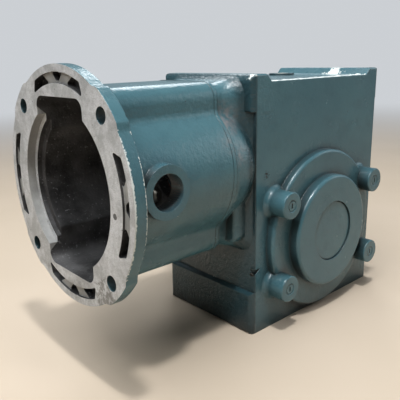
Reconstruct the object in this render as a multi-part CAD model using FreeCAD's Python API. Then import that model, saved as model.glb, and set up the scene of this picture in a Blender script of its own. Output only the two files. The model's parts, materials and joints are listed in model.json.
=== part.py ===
import FreeCAD, Part
import math
import os

# Worm gear reducer, millimetres.
# Origin on the base face under the output axis. +X runs along the worm axis away from the motor flange,
# +Y along the output axis towards the output shaft's end, +Z up.

V = FreeCAD.Vector

# Gear set
centre_distance = 66.675
gear_module = 3.3
wheel_teeth = 30
pressure_angle = 20.0
flank_clearance = 0.15
tip_clearance = 0.66
worm_length = 62.0
wheel_width = 28.0
wheel_rim_step = 1.7
wheel_rim_chamfer = 2.0

# Housing casting
output_height = 74.6
housing_height = 212.4
housing_half_length = 85.3
housing_half_width = 52.8
wall = 9.3
corner_radius = 5.0
top_corner_radius = 7.0
top_edge_radius = 1.6
end_draft = 1.0
top_floor_drop = 6.0
top_rim_length = 21.5
end_pad_height = 3.2
top_pad_depth = 28.0
base_pad_depth = 34.7
base_pad_slope = 2.4
cavity_corner_radius = 8.0
corner_notch_height = 54.8
corner_notch_size = 5.0

# Closed side, and the posts that both sides carry
ring_radius = 70.8
ring_height = 7.2
disc_radius = 49.8
disc_height = 9.1
boss_edge_radius = 2.6
closed_lip = 8.6
post_radius = 11.1
post_height = 18.3
post_spacing_x = 122.8
post_spacing_z = 71.0
post_root_radius = 4.5
post_edge_radius = 1.0
post_ear_radius = 15.6
tapped_hole_radius = 3.97
tapped_hole_depth = 13.5
post_plug_radius = 4.25
post_plug_chamfer = 0.8
post_plug_inset = 0.35
post_plug_slot_width = 1.3
post_plug_slot_length = 4.2
post_plug_slot_depth = 0.9
closure_plug_radius = 26.7
closure_plug_recess = 1.2
closure_plug_wall = 2.4
closure_plug_depth = 5.5

# Output shaft and its bearings
output_shaft_radius = 15.875
output_shaft_end = 136.0
output_bearing_bore = 17.5
output_bearing_outer = 36.0
output_bearing_width = 17.0
output_ball_radius = 5.55
output_ball_count = 9
hub_seat_radius = 19.05
hub_half_length = 22.0
hub_boss_radius = 29.0
hub_rim_radius = 37.0
hub_rim_wall = 6.0
hub_web = 12.0
shaft_collar_radius = 23.5
shaft_collar_length = 6.0
output_key_width = 6.35
output_key_length = 44.0
output_key_from_end = 6.0
wheel_key_width = 9.525
wheel_key_length = 34.0

# Output cover on the open side
pad_height = 1.5
gasket_thickness = 0.8
cover_flange_thickness = 7.0
cover_lip = 2.1
cover_opening_radius = 57.5
spigot_clearance = 0.1
spigot_length = 8.0
spigot_wall = 5.5
seat_boss_wall = 7.0
output_seal_width = 10.0
output_seal_outer = 31.0
cover_screw_radius = 3.175
cover_screw_count = 6
cover_screw_head = 11.1
cover_screw_grip = 8.0

# Worm shaft and its bearings
worm_bearing_bore = 15.0
worm_bearing_outer = 31.0
worm_bearing_width = 16.0
worm_ball_radius = 4.7625
worm_ball_count = 9
front_bearing_setback = 13.3
rear_bearing_setback = 27.3
worm_collar_radius = 18.5
worm_collar_length = 8.0
worm_taper_length = 9.0
worm_seal_width = 10.0
bearing_lip = 3.0
bearing_lip_height = 3.4
snap_ring_thickness = 2.0
snap_ring_depth = 1.5
snap_ring_radial = 3.2
snap_ring_side_clearance = 0.05
snap_ring_gap = 26.0
end_cap_wall = 2.6
end_cap_depth = 7.0
input_shaft_radius = 9.525
input_shaft_end = 158.3
input_shaft_shoulder = 112.0
input_key_width = 4.7625
input_key_length = 32.0
input_key_from_end = 4.0

# Neck and motor adapter
adapter_length = 110.0
neck_length = 23.2
neck_inset = 1.4
seam_edge_radius = 1.0
neck_side_radius = 51.8
neck_flare_length = 20.7
neck_flare = 14.5
neck_top_flare = 5.2
neck_pocket_depth = 14.0
neck_pocket_wall = 6.0
neck_boss_reach = 45.0
neck_boss_low = 81.0
neck_boss_length = 15.0
neck_boss_edge = 2.5
tube_bulge_radius = 57.0
lobe_half_width = 36.7
lobe_half_height = 66.7
lobe_corner_radius = 13.0
lobe_blend_radius = 8.0
cavity_bulge_radius = 48.5
cavity_half_width = 31.0
cavity_half_height = 61.3
cavity_lobe_corner = 7.5
adapter_end_wall = 10.0
adapter_lip_length = 3.6
adapter_lip_height = 0.3
adapter_end_bore = 32.0
adapter_screw_radius = 3.97
adapter_screw_circle = 40.0
adapter_screw_head = 12.7
adapter_screw_grip = 14.0

# Motor flange
flange_radius = 82.55
flange_thickness = 9.3
flange_edge_radius = 1.2
ear_radius = 84.9
ear_foot_angle = 12.6
ear_top_angle = 9.2
ear_foot_blend = 8.0
ear_top_blend = 4.0
pilot_radius = 57.15
pilot_depth = 6.4
second_step_radius = 53.6
second_step_depth = 10.0
motor_bolt_circle = 149.2
motor_hole_radius = 5.35
web_pocket_inner = 70.2
web_pocket_outer = 77.5
web_pocket_depth = 6.0
web_pocket_round = 1.2
web_rib_drop = 1.6
access_hole_radius = 12.7
access_boss_radius = 18.7
access_boss_reach = 61.5
access_hole_from_face = 41.5

# Base holes and oil plugs
base_hole_spacing_x = 144.0
base_hole_spacing_y = 76.0
plug_radius = 6.6
plug_length = 8.0
plug_socket = 6.4
plug_socket_depth = 4.5
plug_boss_radius = 12.0
plug_boss_height = 2.0

# Shared clearances
seal_clearance = 0.05
hole_clearance = 0.3
screw_tip_clearance = 2.0
race_clearance = 0.12
root_sink = 0.15
cage_pocket_clearance = 0.2
cage_land_clearance = 0.6

# Places worked out from the values above
axial_pitch = math.pi * gear_module
wheel_pitch_radius = wheel_teeth * gear_module / 2
worm_pitch_radius = centre_distance - wheel_pitch_radius
worm_tip_radius = worm_pitch_radius + gear_module
worm_root_radius = worm_pitch_radius - gear_module - tip_clearance
wheel_throat_radius = wheel_pitch_radius + gear_module
wheel_outer_radius = wheel_throat_radius + wheel_rim_step
worm_height = output_height + centre_distance
worm_front_bearing = housing_half_length - front_bearing_setback
worm_rear_bearing = housing_half_length - rear_bearing_setback
top_floor_height = housing_height - top_floor_drop
pad_x = housing_half_length + end_pad_height
ring_y = housing_half_width + ring_height
disc_y = ring_y + disc_height
post_y = housing_half_width + post_height
post_places = [(sx * post_spacing_x / 2, sz * post_spacing_z / 2) for sx in (-1, 1) for sz in (-1, 1)]
bearing_outer_y = disc_y - closed_lip
bearing_inner_y = bearing_outer_y - output_bearing_width
pad_y = housing_half_width + pad_height
cover_back_y = pad_y + gasket_thickness
cover_flange_y = cover_back_y + cover_flange_thickness
seal_y = bearing_outer_y + cover_lip
cover_face_y = seal_y + output_seal_width
cover_screw_circle = (cover_opening_radius + ring_radius) / 2
neck_x = -housing_half_length - neck_length
adapter_x = neck_x - gasket_thickness
flange_x = adapter_x - adapter_length
wheel_spot = (0.0, output_height)
worm_spot = (0.0, worm_height)


def cylinder_x(radius, x0, x1, spot):
    """Cylinder along X between x0 and x1; spot is its (y, z)."""
    return Part.makeCylinder(radius, x1 - x0, V(x0, spot[0], spot[1]), V(1, 0, 0))


def cylinder_y(radius, y0, y1, spot):
    """Cylinder along Y between y0 and y1; spot is its (x, z)."""
    return Part.makeCylinder(radius, y1 - y0, V(spot[0], y0, spot[1]), V(0, 1, 0))


def cylinder_z(radius, z0, z1, spot):
    """Cylinder along Z between z0 and z1; spot is its (x, y)."""
    return Part.makeCylinder(radius, z1 - z0, V(spot[0], spot[1], z0), V(0, 0, 1))


def block(x0, x1, y0, y1, z0, z1):
    """Box between two corners."""
    return Part.makeBox(x1 - x0, y1 - y0, z1 - z0, V(x0, y0, z0))


def outline(corners):
    """Closed wire in the XY plane through (u, v, corner radius) points."""
    count = len(corners)
    bends = []
    for index, (u, v, radius) in enumerate(corners):
        point = V(u, v, 0)
        back = V(corners[index - 1][0], corners[index - 1][1], 0) - point
        ahead = V(corners[(index + 1) % count][0], corners[(index + 1) % count][1], 0) - point
        back.normalize()
        ahead.normalize()
        half_angle = back.getAngle(ahead) / 2
        trim = radius / math.tan(half_angle)
        middle = point
        if radius > 0:
            inward = back + ahead
            inward.normalize()
            middle = point + inward * (radius / math.sin(half_angle) - radius)
        bends.append((point + back * trim, middle, point + ahead * trim, radius))
    edges = []
    for index, (start, middle, end, radius) in enumerate(bends):
        if radius > 0:
            edges.append(Part.Arc(start, middle, end).toShape())
        edges.append(Part.makeLine(end, bends[(index + 1) % count][0]))
    return Part.Wire(edges)


def prism(corners, normal, start, end):
    """Solid swept from an outline along X, Y or Z; the outline's points are (y, z), (x, z) or (x, y)."""
    solid = Part.Face(outline(corners)).extrude(V(0, 0, end - start))
    if normal == "X":
        turn = FreeCAD.Rotation(V(0, 1, 0), V(0, 0, 1), V(1, 0, 0), "ZXY")
        solid.Placement = FreeCAD.Placement(V(start, 0, 0), turn)
    elif normal == "Y":
        solid = solid.mirror(V(0, 0, 0), V(0, 0, 1))
        turn = FreeCAD.Rotation(V(1, 0, 0), V(0, 0, 1), V(0, -1, 0), "ZXY")
        solid.Placement = FreeCAD.Placement(V(0, start, 0), turn)
    else:
        solid.translate(V(0, 0, start))
    return solid


def turned_x(profile, spot):
    """Solid of revolution about an X axis at (y, z); the profile's points are (x, radius)."""
    points = [V(x, 0, radius) for x, radius in profile]
    solid = Part.Face(Part.makePolygon(points + points[:1])).revolve(V(0, 0, 0), V(1, 0, 0), 360)
    solid.translate(V(0, spot[0], spot[1]))
    return solid


def turned_y(profile, spot):
    """Solid of revolution about a Y axis at (x, z); the profile's points are (y, radius)."""
    points = [V(radius, y, 0) for y, radius in profile]
    solid = Part.Face(Part.makePolygon(points + points[:1])).revolve(V(0, 0, 0), V(0, 1, 0), 360)
    solid.translate(V(spot[0], 0, spot[1]))
    return solid


def edges_where(shape, test):
    """Edges whose two ends both pass the test."""
    return [edge for edge in shape.Edges if all(test(vertex.Point) for vertex in edge.Vertexes)]


def lobed_prism(x0, x1, bulge, half_width, half_height, corner, blend):
    """Round bar with a flat-topped lobe above and below, the section of the tube, its bore and the neck."""
    round_bar = cylinder_x(bulge, x0, x1, worm_spot)
    corners = [(u * half_width, worm_height + v * half_height, corner)
               for u, v in ((-1, -1), (1, -1), (1, 1), (-1, 1))]
    bar = round_bar.fuse(prism(corners, "X", x0, x1)).removeSplitter()
    meet = math.sqrt(bulge ** 2 - half_width ** 2)
    hollows = [edge for edge in bar.Edges
               if len(edge.Vertexes) == 2
               and abs(edge.Vertexes[0].X - edge.Vertexes[1].X) > (x1 - x0) / 2
               and abs(abs(edge.Vertexes[0].Y) - half_width) < 0.01
               and abs(abs(edge.Vertexes[0].Z - worm_height) - meet) < 0.01]
    return bar.makeFillet(blend, hollows)


def hex_prism(across_flats, z0, z1):
    """Hexagonal bar along Z."""
    reach = across_flats / math.sqrt(3)
    points = [V(reach * math.cos(math.radians(60 * k)), reach * math.sin(math.radians(60 * k)), z0)
              for k in range(6)]
    return Part.Face(Part.makePolygon(points + points[:1])).extrude(V(0, 0, z1 - z0))


def hex_screw(radius, across_flats, length):
    """Hexagon head screw along Z, its head's seat at z = 0 and its shank below."""
    head_height = across_flats * 0.5
    top_cone = Part.makeCone(across_flats * 0.56 + head_height, across_flats * 0.56 - head_height * 0.25,
                             head_height * 1.25, V(0, 0, -head_height * 0.25))
    head = hex_prism(across_flats, 0, head_height).common(top_cone)
    return head.fuse(Part.makeCylinder(radius, length, V(0, 0, -length))).removeSplitter()


def aimed(shape, axis, place):
    """Copy of a shape made along Z, turned to point along an axis and moved."""
    copy = shape.copy()
    copy.Placement = FreeCAD.Placement(place, FreeCAD.Rotation(V(0, 0, 1), axis))
    return copy


def key_bar(width, length):
    """Round-ended key, centred on the origin, its length along X and its height along Z."""
    reach = length / 2 - width / 2
    bar = block(-reach, reach, -width / 2, width / 2, -width / 2, width / 2)
    for end in (-reach, reach):
        bar = bar.fuse(cylinder_z(width / 2, -width / 2, width / 2, (end, 0)))
    return bar.removeSplitter()


def snap_ring(bore_radius, x0):
    """Internal snap ring in a bore round the worm axis, open at the bottom, with two lug holes."""
    outer = bore_radius + snap_ring_depth - snap_ring_side_clearance
    x0 = x0 + snap_ring_side_clearance
    x1 = x0 + snap_ring_thickness - 2 * snap_ring_side_clearance
    ring = cylinder_x(outer, x0, x1, worm_spot)
    ring = ring.cut(cylinder_x(bore_radius - snap_ring_radial, x0 - 1, x1 + 1, worm_spot))
    lug_radius = snap_ring_radial * 0.8
    lug_circle = bore_radius - snap_ring_radial
    half_gap = math.radians(snap_ring_gap / 2)
    ring = ring.cut(block(x0 - 1, x1 + 1, -lug_circle * math.sin(half_gap), lug_circle * math.sin(half_gap),
                          worm_height - outer - 1, worm_height - lug_circle / 2))
    for side in (-1, 1):
        angle = side * (half_gap + lug_radius / lug_circle)
        spot = (lug_circle * math.sin(angle), worm_height - lug_circle * math.cos(angle))
        ring = ring.fuse(cylinder_x(lug_radius, x0, x1, spot))
        ring = ring.cut(cylinder_x(lug_radius * 0.42, x0 - 1, x1 + 1, spot))
    return ring


def ball_bearing(bore, outer, width, ball, count):
    """Deep groove ball bearing about Z, centred on the origin: outer race, inner race, balls, cage."""
    pitch = (bore + outer) / 2
    land = ball * 0.4
    groove = Part.makeTorus(pitch, ball + race_clearance)

    def ring(inner_radius, outer_radius, ring_width):
        tube = Part.makeCylinder(outer_radius, ring_width, V(0, 0, -ring_width / 2))
        return tube.cut(Part.makeCylinder(inner_radius, ring_width + 2, V(0, 0, -ring_width / 2 - 1)))

    outer_race = ring(pitch + land, outer, width).cut(groove)
    inner_race = ring(bore, pitch - land, width).cut(groove)
    rails = 2 * ball + 3.0
    cage = ring(pitch - land + cage_land_clearance, pitch + land - cage_land_clearance, rails)
    balls = []
    pockets = []
    for number in range(count):
        angle = 2 * math.pi * (number + 0.5) / count
        outward = V(math.cos(angle), math.sin(angle), 0)
        balls.append(Part.makeSphere(ball, outward * pitch))
        pockets.append(Part.makeCylinder(ball + cage_pocket_clearance, outer, V(0, 0, 0), outward))
    return [outer_race], [inner_race], balls, [cage.cut(pockets)]


def lip_seal(outer, inner, width):
    """Shaft seal along Z from the origin: a cupped case whose lip closes on the shaft."""
    case = outer - 2.6
    heel = inner + 2.4
    points = [V(outer, 0, 0), V(outer, 0, width), V(case, 0, width), V(case, 0, width * 0.42),
              V(heel, 0, width * 0.42), V(heel, 0, width * 0.72), V(inner + 1.1, 0, width * 0.78),
              V(inner, 0, width * 0.55), V(inner + 1.2, 0, 0)]
    return Part.Face(Part.makePolygon(points + points[:1])).revolve(V(0, 0, 0), V(0, 0, 1), 360)


def pressed_cup(radius, depth, sheet, corner):
    """Pressed closure cup along Z, its flat face at z = 0 and its skirt running down to -depth."""
    cup = Part.makeCylinder(radius, depth, V(0, 0, -depth))
    rim = [edge for edge in cup.Edges if edge.Closed and abs(edge.Vertexes[0].Z) < 0.01]
    cup = cup.makeFillet(corner, rim)
    return cup.cut(Part.makeCylinder(radius - sheet, depth - sheet, V(0, 0, -depth)))


def tapped_hole():
    """Cutter for a tapped hole along Z whose mouth is at z = 0 and whose depth runs down."""
    return Part.makeCylinder(tapped_hole_radius, tapped_hole_depth, V(0, 0, -tapped_hole_depth))


def plugged_hole():
    """Cutter for a countersunk hole along Z that a slotted plug closes."""
    hole = Part.makeCylinder(post_plug_radius, tapped_hole_depth, V(0, 0, -tapped_hole_depth))
    mouth = Part.makeCone(post_plug_radius, post_plug_radius + post_plug_chamfer,
                          post_plug_chamfer, V(0, 0, -post_plug_chamfer))
    return hole.fuse(mouth)


def post_plug():
    """Slotted plug along Z, screwed in just below the mouth of its hole at z = 0."""
    plug = Part.makeCylinder(post_plug_radius, tapped_hole_depth - post_plug_inset,
                             V(0, 0, -tapped_hole_depth))
    slot = block(-post_plug_slot_width / 2, post_plug_slot_width / 2, -post_plug_slot_length / 2,
                 post_plug_slot_length / 2, -post_plug_inset - post_plug_slot_depth, 0)
    return plug.cut(slot)


def save(name, solids):
    """Write one node's solids to its STEP file."""
    Part.makeCompound(solids).exportStep("parts/" + name + ".step")


# Casting of the gear case

def housing_body():
    """Outside of the gear case: drafted ends with pads, lowered top floor, rounded corners."""
    face_x = housing_half_length
    low = base_pad_depth
    high = housing_height - top_pad_depth
    side = []
    for sign in (1, -1):
        pads = [(sign * pad_x, 0, 2.5), (sign * pad_x, low, 1.5), (sign * face_x, low + base_pad_slope, 1.5),
                (sign * face_x, high, 1.5), (sign * pad_x, high, 1.5),
                (sign * pad_x, housing_height, top_corner_radius),
                (sign * (pad_x - top_rim_length + top_floor_drop), housing_height, 1.0),
                (sign * (pad_x - top_rim_length), top_floor_height, 1.0)]
        side += pads if sign > 0 else pads[::-1]
    body = prism(side, "Y", -housing_half_width, housing_half_width)
    plan = [(sx * pad_x, sy * housing_half_width, corner_radius)
            for sx, sy in ((-1, -1), (1, -1), (1, 1), (-1, 1))]
    body = body.common(prism(plan, "Z", -1, housing_height + 1))
    edge_y = housing_half_width + 1
    wedges = []
    for sx in (-1, 1):
        for sy in (-1, 1):
            corners = [(sx * face_x, 0, 0), (sx * (face_x + 1), 0, 0), (sx * (face_x + 1), sy * edge_y, 0),
                       (sx * (face_x - end_draft), sy * edge_y, 0)]
            wedges.append(prism(corners, "Z", low + base_pad_slope, high))
    edge = top_edge_radius
    section = [(-housing_half_width, -1, 0), (housing_half_width, -1, 0),
               (housing_half_width, housing_height, edge), (-housing_half_width, housing_height, edge)]
    return body.cut(wedges).common(prism(section, "X", -pad_x - 1, pad_x + 1))


def closed_side():
    """Ring, raised disc and posts of the closed side."""
    ring = cylinder_y(ring_radius, -ring_y, -housing_half_width + wall / 2, wheel_spot)
    rim = [edge for edge in ring.Edges if edge.Closed and abs(edge.Vertexes[0].Y + ring_y) < 0.01]
    ring = ring.makeFillet(boss_edge_radius, rim)
    disc = cylinder_y(disc_radius, -disc_y, -housing_half_width, wheel_spot)
    rim = [edge for edge in disc.Edges if edge.Closed and abs(edge.Vertexes[0].Y + disc_y) < 0.01]
    disc = disc.makeFillet(boss_edge_radius, rim)
    side = ring.fuse(disc)
    for x, dz in post_places:
        side = side.fuse(post(V(x, -housing_half_width + wall / 2, output_height + dz), V(0, -1, 0),
                              post_height + wall / 2, wall / 2))
    return side


def post(foot, axis, length, buried):
    """Round post with a rounded end and a root that curves out into the wall it stands on."""
    root = post_root_radius
    edge = post_edge_radius
    bend = 1 - math.sqrt(0.5)
    wide = post_radius + root
    foot_height = buried - root_sink
    points = [V(0, 0, 0), V(wide, 0, 0), V(wide, 0, foot_height),
              V(post_radius + root * bend, 0, foot_height + root * bend),
              V(post_radius, 0, foot_height + root), V(post_radius, 0, length - edge),
              V(post_radius - edge * bend, 0, length - edge * bend), V(post_radius - edge, 0, length),
              V(0, 0, length)]
    edges = [Part.makeLine(points[0], points[1]), Part.makeLine(points[1], points[2]),
             Part.Arc(points[2], points[3], points[4]).toShape(), Part.makeLine(points[4], points[5]),
             Part.Arc(points[5], points[6], points[7]).toShape(), Part.makeLine(points[7], points[8]),
             Part.makeLine(points[8], points[0])]
    return aimed(Part.Face(Part.Wire(edges)).revolve(V(0, 0, 0), V(0, 0, 1), 360), axis, foot)


def lobed_wire(x, bulge, half_width, half_height, corner, blend):
    """Outline of the lobed section at one x; every outline has the same sixteen edges."""
    middle_y = half_width + blend
    middle_z = math.sqrt((bulge + blend) ** 2 - middle_y ** 2)
    share = bulge / (bulge + blend)
    lean = V(-1 - middle_y / (bulge + blend), -middle_z / (bulge + blend), 0)
    lean.normalize()
    bend = corner * (1 - math.sqrt(0.5))
    quarter = [(half_width - corner, half_height), (half_width - bend, half_height - bend),
               (half_width, half_height - corner), (half_width, middle_z),
               (middle_y + blend * lean.x, middle_z + blend * lean.y), (middle_y * share, middle_z * share)]
    right = quarter + [(bulge, 0)] + [(y, -z) for y, z in quarter[::-1]]
    left = [(-y, z) for y, z in right[::-1]]
    points = [V(x, y, worm_height + z) for y, z in right + left]
    half = len(right)
    edges = []
    for start in (0, half):
        p = points[start:start + half]
        edges += [Part.Arc(p[0], p[1], p[2]).toShape(), Part.makeLine(p[2], p[3]),
                  Part.Arc(p[3], p[4], p[5]).toShape(), Part.Arc(p[5], p[6], p[7]).toShape(),
                  Part.Arc(p[7], p[8], p[9]).toShape(), Part.makeLine(p[9], p[10]),
                  Part.Arc(p[10], p[11], p[12]).toShape(),
                  Part.makeLine(p[12], points[(start + half) % len(points)])]
    return Part.Wire(edges)


def neck():
    """Lobed neck towards the motor, sweeping out into the end face, with a low boss on each side."""
    root_x = -housing_half_length + end_draft
    start_x = root_x - neck_flare_length
    bulge = tube_bulge_radius - neck_inset
    width = lobe_half_width - neck_inset
    height = lobe_half_height - neck_inset
    outlines = []
    for share in (0, 0.24, 0.48, 0.66, 0.8, 0.9, 1.0):
        swell = share ** 2.2
        outlines.append(lobed_wire(start_x + share * neck_flare_length,
                                   bulge + (neck_side_radius - bulge) * share, width + neck_flare * swell,
                                   height + neck_top_flare * swell, lobe_corner_radius, lobe_blend_radius))
    flare = Part.makeLoft(outlines, True, False)
    front = Part.Face(lobed_wire(neck_x, bulge, width, height, lobe_corner_radius, lobe_blend_radius))
    front = front.extrude(V(start_x - neck_x, 0, 0))
    rim = edges_where(front, lambda point: abs(point.x - neck_x) < 0.01)
    front = front.makeFillet(seam_edge_radius, rim)
    root = Part.Face(outlines[-1]).extrude(V(wall / 2, 0, 0))
    body = flare.fuse([front, root])
    for sign in (-1, 1):
        side_y = sign * neck_boss_reach
        inner_y = sign * lobe_half_width / 2
        corners = [(inner_y, neck_boss_low, 4.0), (side_y, neck_boss_low, 6.0),
                   (side_y, worm_height, 0), (inner_y, worm_height, 0)]
        boss_x = -housing_half_length - neck_boss_length
        boss = prism(corners, "X", boss_x, root_x + wall / 2)
        rim = [edge for edge in boss.Edges
               if all(abs(vertex.X - boss_x) < 0.01 for vertex in edge.Vertexes)
               and min(vertex.Z for vertex in edge.Vertexes) < neck_boss_low + 10]
        body = body.fuse(boss.makeFillet(neck_boss_edge, rim))
    return body


def gear_cavity():
    """Oil space of the gear case, with bearing bosses left standing in it."""
    half_x = housing_half_length - wall
    half_y = housing_half_width - wall
    corners = [(-half_x, wall, cavity_corner_radius), (half_x, wall, cavity_corner_radius),
               (half_x, top_floor_height - wall, cavity_corner_radius),
               (-half_x, top_floor_height - wall, cavity_corner_radius)]
    space = prism(corners, "Y", -half_y, half_y)
    boss = worm_bearing_outer + seat_boss_wall
    front = -worm_front_bearing + bearing_lip
    rear = worm_rear_bearing - bearing_lip
    space = space.cut(cylinder_x(boss, -housing_half_length, front, worm_spot))
    space = space.cut(cylinder_x(boss, rear, housing_half_length, worm_spot))
    seat = output_bearing_outer + seat_boss_wall
    space = space.cut(cylinder_y(seat, -housing_half_width, -bearing_inner_y + 1, wheel_spot))
    return space.cut(cylinder_y(ring_radius, half_y - 5, housing_half_width, wheel_spot))


def worm_bores():
    """Bores for the worm's bearings, snap rings, seal and cap, from both ends."""
    lip = worm_bearing_outer - bearing_lip_height
    front = -worm_front_bearing
    groove = worm_bearing_outer + snap_ring_depth
    bores = cylinder_x(worm_bearing_outer, neck_x - 1, front, worm_spot)
    bores = bores.fuse(cylinder_x(worm_bearing_outer, worm_rear_bearing, pad_x + 1, worm_spot))
    bores = bores.fuse(cylinder_x(lip, front - 1, worm_rear_bearing + 1, worm_spot))
    for start in (front - worm_bearing_width - snap_ring_thickness, worm_rear_bearing + worm_bearing_width):
        bores = bores.fuse(cylinder_x(groove, start, start + snap_ring_thickness, worm_spot))
    return bores


def output_bores():
    """Blind bearing seat of the closed side, its plug bore, and the opening for the cover."""
    seat = cylinder_y(output_bearing_outer, -bearing_outer_y, -bearing_inner_y + 5, wheel_spot)
    plug = cylinder_y(closure_plug_radius, -disc_y - 1, -bearing_outer_y + 1, wheel_spot)
    opening = cylinder_y(cover_opening_radius, housing_half_width - wall - 6, pad_y + 1, wheel_spot)
    return seat.fuse(plug).fuse(opening)


def cover_outline(y0, y1):
    """Round plate with an ear for each post."""
    plate = cylinder_y(ring_radius, y0, y1, wheel_spot)
    for x, dz in post_places:
        plate = plate.fuse(cylinder_y(post_ear_radius, y0, y1, (x, output_height + dz)))
    return plate


def screw_spots(circle, count):
    """Places round the output axis for the cover's screws."""
    turns = [2 * math.pi * k / count for k in range(count)]
    return [(circle * math.cos(turn), output_height + circle * math.sin(turn)) for turn in turns]


def adapter_screw_spots():
    """The four places round the worm axis for the adapter's screws."""
    reach = adapter_screw_circle * math.sin(math.radians(45))
    return [(sy * reach, worm_height + sz * reach) for sy in (-1, 1) for sz in (-1, 1)]


# Mouth centre and outward direction of the three oil holes
oil_holes = {
    "fill_plug": (V(34.0, 20.0, top_floor_height), V(0, 0, 1)),
    "level_plug": (V(housing_half_length, -27.0, output_height + 12.0), V(1, 0, 0)),
    "drain_plug": (V(housing_half_length, 27.0, base_pad_depth + 17.0), V(1, 0, 0)),
}


def housing():
    """The gear case: one casting with its machined bores."""
    body = housing_body().fuse([closed_side(), neck(), cover_outline(housing_half_width - wall, pad_y)])
    for place, axis in oil_holes.values():
        boss = Part.makeCylinder(plug_boss_radius, plug_boss_height + wall, V(0, 0, -wall))
        body = body.fuse(aimed(boss, axis, place))
    body = body.cut([gear_cavity(), worm_bores(), output_bores()])
    cutters = []
    for x, dz in post_places:
        cutters.append(aimed(plugged_hole(), V(0, -1, 0), V(x, -post_y, output_height + dz)))
    for sx in (-1, 1):
        for sy in (-1, 1):
            mouth = V(sx * base_hole_spacing_x / 2, sy * base_hole_spacing_y / 2, 0)
            cutters.append(aimed(tapped_hole(), V(0, 0, -1), mouth))
    depth = cover_screw_grip + screw_tip_clearance / 2
    for spot in screw_spots(cover_screw_circle, cover_screw_count):
        cutters.append(cylinder_y(cover_screw_radius, pad_y - depth, pad_y + 1, spot))
    for spot in adapter_screw_spots():
        cutters.append(cylinder_x(adapter_screw_radius, neck_x - 1,
                                  neck_x + adapter_screw_grip + screw_tip_clearance, spot))
    for sign in (-1, 1):
        inner = worm_bearing_outer + snap_ring_depth + neck_pocket_wall
        outer = lobe_half_height - neck_inset - neck_pocket_wall
        half = lobe_half_width - neck_inset - 2 * neck_pocket_wall
        corners = [(-half, worm_height + sign * inner, 4), (half, worm_height + sign * inner, 4),
                   (half, worm_height + sign * outer, 4), (-half, worm_height + sign * outer, 4)]
        cutters.append(prism(corners, "X", neck_x - 1, neck_x + neck_pocket_depth))
    for place, axis in oil_holes.values():
        hole = Part.makeCylinder(plug_radius, plug_boss_height + 2 * wall, V(0, 0, -2 * wall))
        cutters.append(aimed(hole, axis, place))
    for sy in (-1, 1):
        cutters.append(corner_notch(sy))
    return body.cut(cutters)


def corner_notch(side):
    """Small three-cornered nick in the vertical corner at the motor end."""
    size = corner_notch_size
    points = [V(0, 0, -size / 2), V(size, 0, size / 2), V(-size, 0, size / 2)]
    nick = Part.Face(Part.makePolygon(points + points[:1])).extrude(V(0, size * 2, 0))
    nick.translate(V(0, -size, 0))
    nick.rotate(V(0, 0, 0), V(0, 0, 1), side * 45)
    nick.translate(V(-housing_half_length - size * 0.05, side * (housing_half_width + size * 0.05),
                     corner_notch_height))
    return nick


# Motor adapter

def polar(radius, degrees):
    """Point (y, z) round the worm axis."""
    angle = math.radians(degrees)
    return V(0, radius * math.cos(angle), worm_height + radius * math.sin(angle))


def sector(inner, outer, middle, inner_span, outer_span, depth):
    """Cutter between two circles whose straight sides join a span inside to a span outside."""
    x0 = flange_x - 1
    x1 = flange_x + depth
    band = cylinder_x(outer, x0, x1, worm_spot).cut(cylinder_x(inner, x0 - 1, x1 + 1, worm_spot))
    lines = []
    for inside, outside in zip(inner_span, outer_span):
        low = polar(inner, middle + inside)
        high = polar(outer, middle + outside)
        lines.append((low - (high - low) * 0.6, high + (high - low) * 0.6))
    points = [lines[0][0], lines[0][1], lines[1][1], lines[1][0]]
    fan = Part.Face(Part.makePolygon(points + points[:1])).extrude(V(x1 - x0, 0, 0))
    fan.translate(V(x0, 0, 0))
    pocket = band.common(fan)
    standing = [edge for edge in pocket.Edges if abs(edge.Vertexes[0].X - edge.Vertexes[-1].X) > 1]
    return pocket.makeFillet(web_pocket_round, standing)


def flange_pockets():
    """Cored bays in the flange face at every quarter turn: a triangle between two wedges."""
    pockets = []
    inner = web_pocket_inner
    outer = web_pocket_outer
    for middle in (0, 90, 180, 270):
        pockets.append(sector(inner, outer, middle, (9, 28), (15, 23), web_pocket_depth))
        pockets.append(sector(inner, outer, middle, (-28, -9), (-23, -15), web_pocket_depth))
        pockets.append(sector(inner + 1.4, outer, middle, (-1.6, 1.6), (-5.4, 5.4), web_pocket_depth))
        pockets.append(sector(inner, outer, middle, (-28, 28), (-23, 23), web_rib_drop))
    return pockets


def motor_flange():
    """Round flange that swells out at each motor bolt, with every slope blended in."""
    back_x = flange_x + flange_thickness
    feet = []
    tops = []
    edges = []
    for middle in (45, 135, 225, 315):
        foot = [polar(flange_radius, middle + side * ear_foot_angle) for side in (-1, 1)]
        top = [polar(ear_radius, middle + side * ear_top_angle) for side in (-1, 1)]
        after = polar(flange_radius, middle + 90 - ear_foot_angle)
        edges += [Part.makeLine(foot[0], top[0]),
                  Part.Arc(top[0], polar(ear_radius, middle), top[1]).toShape(),
                  Part.makeLine(top[1], foot[1]),
                  Part.Arc(foot[1], polar(flange_radius, middle + 45), after).toShape()]
        feet += foot
        tops += top
    flange = Part.Face(Part.Wire(edges)).extrude(V(flange_thickness, 0, 0))
    flange.translate(V(flange_x, 0, 0))
    for corners, blend in ((feet, ear_foot_blend), (tops, ear_top_blend)):
        bends = [edge for edge in flange.Edges for corner in corners
                 if edge.CenterOfMass.distanceToPoint(V(edge.CenterOfMass.x, corner.y, corner.z)) < 0.01]
        flange = flange.makeFillet(blend, bends)
    rim = edges_where(flange, lambda point: abs(point.x - back_x) < 0.01)
    return flange.makeFillet(flange_edge_radius, rim)


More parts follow.
